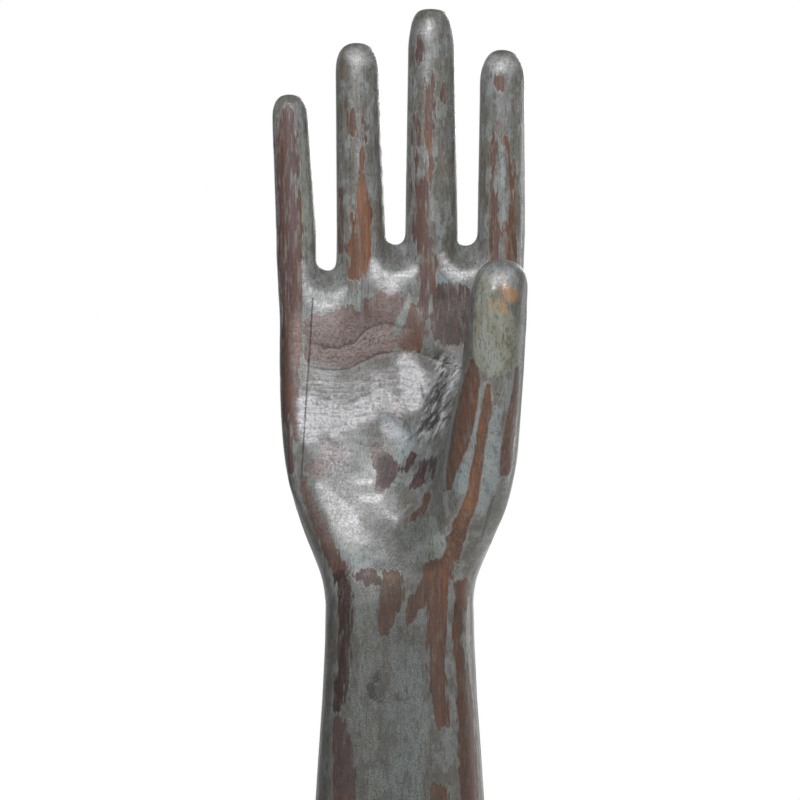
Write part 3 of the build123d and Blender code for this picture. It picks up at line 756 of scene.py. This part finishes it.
def old_paint(tree, mark, grain, ragged, frayed):
    """An old grey-green coat, and where it held a later one, pale blue to olive: chipped and scored, with a
    painted highlight along the lifted edges of the chips.
    """
    aged = add(tree, "MapRange", [grain.cloud, 0.38, 0.62])
    old_coat = add(tree, "Mix", {0: aged, 6: paint("#727473"), 7: paint("#68665f")}, out=2, data_type="RGBA")
    new_coat = add(tree, "Mix", {0: mark.paint_tone, 6: paint("#7f8a8e"), 7: paint("#81806e")}, out=2,
        data_type="RGBA")
    held = add(tree, "Math", [mark.held_paint, ragged], operation="ADD")
    held = add(tree, "MapRange", [held, -0.5, 0.5, 0, 0.9])
    coat = add(tree, "Mix", {0: held, 6: old_coat, 7: new_coat}, out=2, data_type="RGBA")
    lighter = add(tree, "MapRange", [grain.chip, 0.52, 0.55, 0, 0.45])
    darker = add(tree, "MapRange", [grain.chip, 0.42, 0.39, 0, 0.45])
    dirt = add(tree, "MapRange", [grain.fleck, 0.54, 0.6, 0, 0.6])
    scored = add(tree, "MapRange", [grain.fibre, 0.62, 0.68, 0, 0.5])
    brushed = add(tree, "MapRange", [grain.fibre, 0.32, 0.48, 0.07, 0])
    # Painted highlight: a pale band on the paint along the lifted edges of the chips
    lifted_edge_highlight = add(tree, "MapRange", [frayed, -0.9, -0.4, 0, 0.35])
    caught = add(tree, "MapRange", [grain.fleck, 0.44, 0.56])
    lifted_edge_highlight = add(tree, "Math", [lifted_edge_highlight, caught], operation="MULTIPLY")
    layers = [(lighter, "#8d9495"), (darker, "#4d4c49"), (dirt, "#43433f"), (scored, "#3f3e3b")]
    layers += [(brushed, "#989c9b"), (lifted_edge_highlight, "#9fa3a2")]
    for amount, code in layers:
        coat = add(tree, "Mix", {0: amount, 6: coat, 7: paint(code)}, out=2, data_type="RGBA")
    return coat


def waxed_wood(tree, mark, grain, frayed):
    """Maroon, red-brown or orange-brown wood, with dark fibres, growth rings and dust in its pores, and a
    painted shadow mixed with dirt just inside the paint's edge.
    """
    warmed = add(tree, "MapRange", [grain.streak, 0.35, 0.65, -0.3, 0.3])
    warm = add(tree, "Math", [mark.warmth, warmed], operation="ADD")
    brown = paint("#3d2d29")
    for start, code in ((-0.5, "#5a494b"), (0.0, "#61483b"), (0.5, "#76503b"), (1.0, "#b0713a")):
        warmer = add(tree, "MapRange", [warm, start, start + 0.5])
        brown = add(tree, "Mix", {0: warmer, 6: brown, 7: paint(code)}, out=2, data_type="RGBA")
    spacing = WAVE_LENGTH / (RING_SPACING * MM)
    ring = add(tree, "TexWave", {"Vector": grain.place, "Scale": spacing, "Distortion": 6, "Detail": 2,
        "Detail Scale": 0.15}, out="Fac", bands_direction="Y", wave_profile="SAW")
    fibres = add(tree, "MapRange", [grain.fibre, 0.5, 0.66, 0, 0.45])
    rings = add(tree, "MapRange", [ring, 0.75, 1.0, 0, 0.1])
    dust = add(tree, "MapRange", [grain.granule, 0.46, 0.3, 0, 0.15])
    # Painted shadow mixed with dirt in the wood just inside the paint's edge
    edge_shadow_and_dirt = add(tree, "MapRange", [frayed, 1.0, 0.3, 0, 0.22])
    for amount, code in ((fibres, "#3a2925"), (rings, "#33241f"), (dust, "#94877f"), (edge_shadow_and_dirt, "#33271f")):
        brown = add(tree, "Mix", {0: amount, 6: brown, 7: paint(code)}, out=2, data_type="RGBA")
    return brown


def growth_steps(tree, mark, grain):
    """How far each place is below the growth lines, with ragged edges, and the share from line to line."""
    level = add(tree, "Math", [grain.granule, 0.2, mark.growth], operation="MULTIPLY_ADD")
    level = add(tree, "Math", [grain.mottle, 0.2, level], operation="MULTIPLY_ADD")
    return level, add(tree, "Math", [level], operation="FRACT")


def cross_grain(tree, mark, grain, brown, step):
    """Wood cut across the grain: a dusty mauve, pitted with pores, darker down to each growth line."""
    shade = add(tree, "MapRange", [step, 0.35, 0.95, 0, 0.5])
    mauve = add(tree, "Mix", {0: shade, 6: paint("#9a8f8c"), 7: paint("#68595a")}, out=2, data_type="RGBA")
    pits = add(tree, "MapRange", [grain.granule, 0.46, 0.62, 0, 0.95])
    torn = add(tree, "MapRange", [grain.scratch, 0.38, 0.62, 0.35, 1.2])
    pits = add(tree, "Math", [pits, torn], operation="MULTIPLY", use_clamp=True)
    mauve = add(tree, "Mix", {0: pits, 6: mauve, 7: paint("#4e4341")}, out=2, data_type="RGBA")
    dusty = add(tree, "Math", [mark.cross_cut, 0.75], operation="MULTIPLY")
    return add(tree, "Mix", {0: dusty, 6: brown, 7: mauve}, out=2, data_type="RGBA")


def rubbed_and_painted_sheen(tree, mark, grain):
    """Where hands and gloves have worn the surface silvery, with painted sheen, highlights and glints, in
    grains and faint scratches.
    """
    bright = add(tree, "MapRange", [grain.mottle, 0.4, 0.6, 0.65, 1.35])
    bright = add(tree, "Math", [bright, mark.rubbed], operation="MULTIPLY", use_clamp=True)
    sparkle = add(tree, "MapRange", [grain.granule, 0.62, 0.4, 0.42, 1.2])
    bright = add(tree, "Math", [bright, sparkle], operation="MULTIPLY")
    wiped = add(tree, "MapRange", [grain.scratch, 0.35, 0.65, 0.75, 1.25])
    return add(tree, "Math", [bright, wiped], operation="MULTIPLY", use_clamp=True)


def growth_lines(tree, mark, grain, level, step):
    """Dark growth lines of the palm, the two upper ones bold, with five faint ones between."""
    bold = add(tree, "MapRange", [level, 2.05, 2.4, 0.85, 0.3])
    ringed = add(tree, "MapRange", [step, 0.88, 0.97])
    ringed = add(tree, "Math", [ringed, bold], operation="MULTIPLY")
    fine_step = add(tree, "Math", [level, 5.0], operation="MULTIPLY")
    fine_step = add(tree, "Math", [fine_step], operation="FRACT")
    fine_ring = add(tree, "MapRange", [fine_step, 0.7, 0.95, 0, 0.38])
    faded = add(tree, "MapRange", [grain.cloud, 0.4, 0.55])
    fine_ring = add(tree, "Math", [fine_ring, faded], operation="MULTIPLY")
    ringed = add(tree, "Math", [ringed, fine_ring], operation="MAXIMUM")
    return add(tree, "Math", [ringed, mark.cross_cut], operation="MULTIPLY")


def gouge_marks(tree, mark, grain):
    """Furrows left by the gouge, leaning across the valley beside the thumb: painted light on the ridges and
    painted shade in the furrows.
    """
    size = [GOUGE_WIDTH * MM, GOUGE_WIDTH * MM, GOUGE_LENGTH * MM]
    along = add(tree, "Mapping", {"Vector": grain.place, "Scale": size, "Rotation": (0, GOUGE_LEAN, 0)},
        vector_type="TEXTURE")
    gouge = add(tree, "TexNoise", {"Vector": along, "Scale": 1, "Detail": 3, "Roughness": 0.6})
    painted_ridge_light = add(tree, "MapRange", [gouge, 0.48, 0.4, 0, 0.95])
    painted_furrow_shade = add(tree, "MapRange", [gouge, 0.54, 0.58, 0, 0.85])
    painted_ridge_light = add(tree, "Math", [painted_ridge_light, mark.gouged], operation="MULTIPLY")
    painted_furrow_shade = add(tree, "Math", [painted_furrow_shade, mark.gouged], operation="MULTIPLY")
    return painted_ridge_light, painted_furrow_shade


def cracks_and_seam(tree, mark, grain):
    """Cracks, tool cuts and the stave's glue line, which wander a little and close up in places."""
    wander = add(tree, "MapRange", [grain.pore, 0.3, 0.7, -0.2, 0.2])
    crack = add(tree, "Math", [mark.dark_line, wander], operation="ADD")
    crack = add(tree, "MapRange", [crack, -0.5, 0.3, 0, 0.6])
    seam = add(tree, "Math", [wander, mark.glue_line], operation="ADD")
    seam = add(tree, "Math", [seam], operation="ABSOLUTE")
    seam = add(tree, "MapRange", [seam, 0.35, 0.1, 0, 0.7])
    closed = add(tree, "MapRange", [grain.streak, 0.4, 0.55, 0.4])
    seam = add(tree, "Math", [seam, closed], operation="MULTIPLY")
    return add(tree, "Math", [crack, seam], operation="MAXIMUM")


def surface(tree, shader, mark, grain, wood, soiled_and_shaded, crack):
    """Dull paint, waxed wood, and rougher where dirt and painted shade lie, with the paint's edge, the
    fibres and the cracks in relief.
    """
    gloss = add(tree, "MapRange", [grain.pore, 0.3, 0.7, 0.2, 0.36])
    dull = add(tree, "MapRange", [wood, 0, 1, 0, 0.16])
    gloss = add(tree, "Math", [gloss, dull], operation="ADD")
    gloss = add(tree, "Mix", {0: soiled_and_shaded, 2: gloss, 3: 0.6})
    gloss = add(tree, "Mix", {0: mark.crown, 2: gloss, 3: 0.75})
    tree.links.new(gloss, shader.inputs["Roughness"])
    sheen = add(tree, "MapRange", [wood, 0, 1, 0.5, 0.3])
    sheen = add(tree, "Mix", {0: mark.crown, 2: sheen, 3: 0.2})
    tree.links.new(sheen, shader.inputs["Specular IOR Level"])
    rough = add(tree, "MapRange", [mark.rubbed, 0, 1, 0.4, 1.6])
    relief = add(tree, "Math", [grain.fibre, 0.4], operation="MULTIPLY")
    for height, share in ((grain.granule, rough), (wood, -0.5), (crack, -2.0)):
        relief = add(tree, "Math", [height, share, relief], operation="MULTIPLY_ADD")
    smoothed = add(tree, "Math", [mark.crown, -0.7, 0.8], operation="MULTIPLY_ADD")
    bump = add(tree, "Bump", {"Height": relief, "Strength": smoothed, "Distance": RELIEF * MM})
    tree.links.new(bump, shader.inputs["Normal"])


def worn_paint():
    """Grey oil paint on a brown hardwood, worn through: dull paint, waxed wood, silvery high spots with
    painted sheen, and painted shade in the hollows.
    """
    finish, tree, shader = new_finish("worn_oil_paint_on_hardwood")
    mark, grain = read_marks(tree), grow_grain(tree)
    ragged, frayed, wood = wear_through(tree, mark, grain)
    coat = old_paint(tree, mark, grain, ragged, frayed)
    brown = waxed_wood(tree, mark, grain, frayed)
    level, step = growth_steps(tree, mark, grain)
    brown = cross_grain(tree, mark, grain, brown, step)
    colour = add(tree, "Mix", {0: wood, 6: coat, 7: brown}, out=2, data_type="RGBA")
    bright = rubbed_and_painted_sheen(tree, mark, grain)
    ringed = growth_lines(tree, mark, grain, level, step)
    painted_ridge_light, painted_furrow_shade = gouge_marks(tree, mark, grain)
    # Dirt and painted shade, broken up by the pores
    soiled_and_shaded = add(tree, "MapRange", [grain.pore, 0.3, 0.65, 0.5, 1.3])
    soiled_and_shaded = add(tree, "Math", [soiled_and_shaded, mark.grime], operation="MULTIPLY", use_clamp=True)
    stained = add(tree, "MapRange", [grain.mottle, 0.35, 0.6, 0.3, 0.9])
    stained = add(tree, "Math", [stained, mark.amber], operation="MULTIPLY")
    crack = cracks_and_seam(tree, mark, grain)
    # Painted sheen on the silvery places, painted light and shade on the gouge marks, painted shade with the
    # dirt
    layers = [(bright, "#cfced2"), (ringed, "#4a4040"), (painted_ridge_light, "#b2b3b8"), (painted_furrow_shade, "#313035")]
    layers += [(soiled_and_shaded, "#2b2a28"), (stained, "#b07c3c"), (crack, "#2c2422")]
    for amount, code in layers:
        colour = add(tree, "Mix", {0: amount, 6: colour, 7: paint(code)}, out=2, data_type="RGBA")
    tree.links.new(colour, shader.inputs["Base Color"])
    surface(tree, shader, mark, grain, wood, soiled_and_shaded, crack)
    return finish


def sawn_end():
    """End grain left by the saw and a bore: dry, dull, with growth rings and dark pores."""
    finish, tree, shader = new_finish("sawn_end_grain")
    place = add(tree, "TexCoord", out="Object")
    spacing = WAVE_LENGTH / (SAWN_RING_SPACING * MM)
    ring = add(tree, "TexWave", {"Vector": place, "Scale": spacing, "Distortion": 5, "Detail": 3,
        "Detail Scale": 0.35}, out="Fac", bands_direction="Y", wave_profile="SAW")
    pore = add(tree, "TexNoise", {"Vector": place, "Scale": 1 / (SAWN_PORE * MM), "Detail": 3})
    wood = add(tree, "Mix", {0: ring, 6: paint("#8a6a50"), 7: paint("#5d4434")}, out=2, data_type="RGBA")
    pores = add(tree, "MapRange", [pore, 0.52, 0.7, 0, 0.7])
    wood = add(tree, "Mix", {0: pores, 6: wood, 7: paint("#35281f")}, out=2, data_type="RGBA")
    tree.links.new(wood, shader.inputs["Base Color"])
    rough = add(tree, "MapRange", [pore, 0, 1, 0.7, 0.9])
    tree.links.new(rough, shader.inputs["Roughness"])
    bump = add(tree, "Bump", {"Height": pore, "Strength": 0.5, "Distance": SAWN_RELIEF * MM})
    tree.links.new(bump, shader.inputs["Normal"])
    return finish


def dowel_wood():
    """Straight-grained beech dowel: pale, fine flecks along the pin."""
    finish, tree, shader = new_finish("beech_dowel")
    place = add(tree, "TexCoord", out="Object")
    fleck = add(tree, "TexNoise", {"Vector": place, "Scale": 1 / (DOWEL_FLECK * MM), "Detail": 3})
    wood = add(tree, "Mix", {0: fleck, 6: paint("#c39a6b"), 7: paint("#96704a")}, out=2, data_type="RGBA")
    tree.links.new(wood, shader.inputs["Base Color"])
    rough = add(tree, "MapRange", [fleck, 0, 1, 0.5, 0.7])
    tree.links.new(rough, shader.inputs["Roughness"])
    bump = add(tree, "Bump", {"Height": fleck, "Strength": 0.3, "Distance": DOWEL_RELIEF * MM})
    tree.links.new(bump, shader.inputs["Normal"])
    return finish


# Where the raw wood shows: below the foot, and in the bore, in millimetres
FOOT_HEIGHT, BORE_TOP, BORE_REACH = 1, 62, 9
FLAT_DOWN = -0.9
SHARP_EDGE = math.radians(50)

painted, sawn, pin = worn_paint(), sawn_end(), dowel_wood()
for piece, node in ((hand, "main_block"), (stave, "little_finger_stave"), (thumb, "thumb_block")):
    piece.name = piece.data.name = node + "_carved"
    piece.data.materials.clear()
    piece.data.materials.append(painted)
    pick(piece)
    bpy.ops.object.shade_smooth_by_angle(angle=SHARP_EDGE)
    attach(piece, "root")
    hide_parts(node)

# The sawn foot and the bored socket show raw wood
hand.data.materials.append(sawn)
for face in hand.data.polygons:
    across, back, up = face.center / MM
    sawn_foot = up < FOOT_HEIGHT and face.normal.z < FLAT_DOWN
    bored = up < BORE_TOP and math.hypot(across, back) < BORE_REACH
    face.material_index = int(sawn_foot or bored)

for name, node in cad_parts.items():
    if "dowel" in name:
        node.data.materials.clear()
        node.data.materials.append(pin)

# Studio, in metres and watts

SENSOR = 36
FLOOR_RADIUS, FLOOR_FADE, FLOOR_GONE = 1.0, 0.3, 0.95

# Each softbox: where it is, what it faces, its width, height and power
SOFTBOXES = {
    "key": ((-0.1, -0.8, 0.76), (0, 0, 0.3), 0.7, 0.5, 8),
    "spark": ((-0.03, -0.8, 0.7), (0, 0, 0.3), 0.1, 0.1, 1.2),
    "right_strip": ((0.7, 0.4, 0.2), (0, 0, 0.2), 0.2, 0.5, 1.9),
    "back_fill": ((0.35, 1.0, 0.7), (0, 0, 0.25), 0.6, 0.6, 6),
}

scene = bpy.context.scene
scene.view_settings.view_transform = "Standard"

camera = bpy.data.objects.new("camera", bpy.data.cameras.new("camera"))
bpy.context.collection.objects.link(camera)
camera.data.sensor_width = SENSOR
camera.data.lens = SENSOR * CAMERA_AWAY / PICTURE_WIDTH
camera.location = (0, -CAMERA_AWAY * MM, CAMERA_UP * MM)
camera.rotation_euler = (math.pi / 2, 0, 0)
scene.camera = camera

for name, (place, aim, width, height, power) in SOFTBOXES.items():
    lamp = bpy.data.objects.new(name, bpy.data.lights.new(name, "AREA"))
    bpy.context.collection.objects.link(lamp)
    lamp.data.shape = "RECTANGLE"
    lamp.data.size, lamp.data.size_y = width, height
    lamp.data.energy = power
    lamp.location = place
    lamp.rotation_euler = (Vector(aim) - Vector(place)).to_track_quat("-Z", "Y").to_euler()


def pale_card():
    """Matt white card with a faint tooth, which fades out towards its rim."""
    finish, tree, shader = new_finish("pale_card")
    place = add(tree, "TexCoord", out="Object")
    tooth = add(tree, "TexNoise", {"Vector": place, "Scale": 1 / (CARD_TOOTH * MM)})
    paper = add(tree, "Mix", {0: tooth, 6: paint("#efeeec"), 7: paint("#f6f5f3")}, out=2, data_type="RGBA")
    tree.links.new(paper, shader.inputs["Base Color"])
    shader.inputs["Roughness"].default_value = 0.8
    far = add(tree, "VectorMath", {0: place}, out="Value", operation="LENGTH")
    far = add(tree, "MapRange", [far, FLOOR_FADE, FLOOR_GONE], interpolation_type="SMOOTHSTEP")
    faded = add(tree, "MixShader", {0: far, 1: shader.outputs[0], 2: add(tree, "BsdfTransparent")})
    tree.links.new(faded, tree.nodes["Material Output"].inputs["Surface"])
    return finish


bpy.ops.object.select_all(action="DESELECT")
bpy.ops.mesh.primitive_circle_add(vertices=96, radius=FLOOR_RADIUS, fill_type="NGON")
floor = bpy.context.object
floor.name = "floor"
floor.data.materials.append(pale_card())

# A white backdrop behind, a dim room in front, brighter to the right
scene.world = bpy.data.worlds.new("studio")
scene.world.use_nodes = True
tree = scene.world.node_tree
background = tree.nodes["Background"]
camera_ray, glossy_ray, through_ray = [
    add(tree, "LightPath", out=ray) for ray in ("Is Camera Ray", "Is Glossy Ray", "Is Transmission Ray")]
seen = add(tree, "Math", [camera_ray, through_ray], operation="MAXIMUM")
shown = add(tree, "MapRange", [glossy_ray, 0, 1, 0.5])
towards = add(tree, "TexCoord", out="Generated")
to_right, to_rear = [add(tree, "SeparateXYZ", {0: towards}, out=axis) for axis in "XY"]
backdrop = add(tree, "MapRange", [to_rear, 0.75, 0.95])
backdrop = add(tree, "Math", [backdrop, shown], operation="MULTIPLY")
room = add(tree, "MapRange", [to_right, -1, 1, 0.05, 0.25])
soft = add(tree, "Math", [backdrop, room], operation="MAXIMUM")
level = add(tree, "Mix", {0: seen, 2: soft, 3: 1.0})
background.inputs["Color"].default_value = (1, 1, 1, 1)
tree.links.new(level, background.inputs["Strength"])
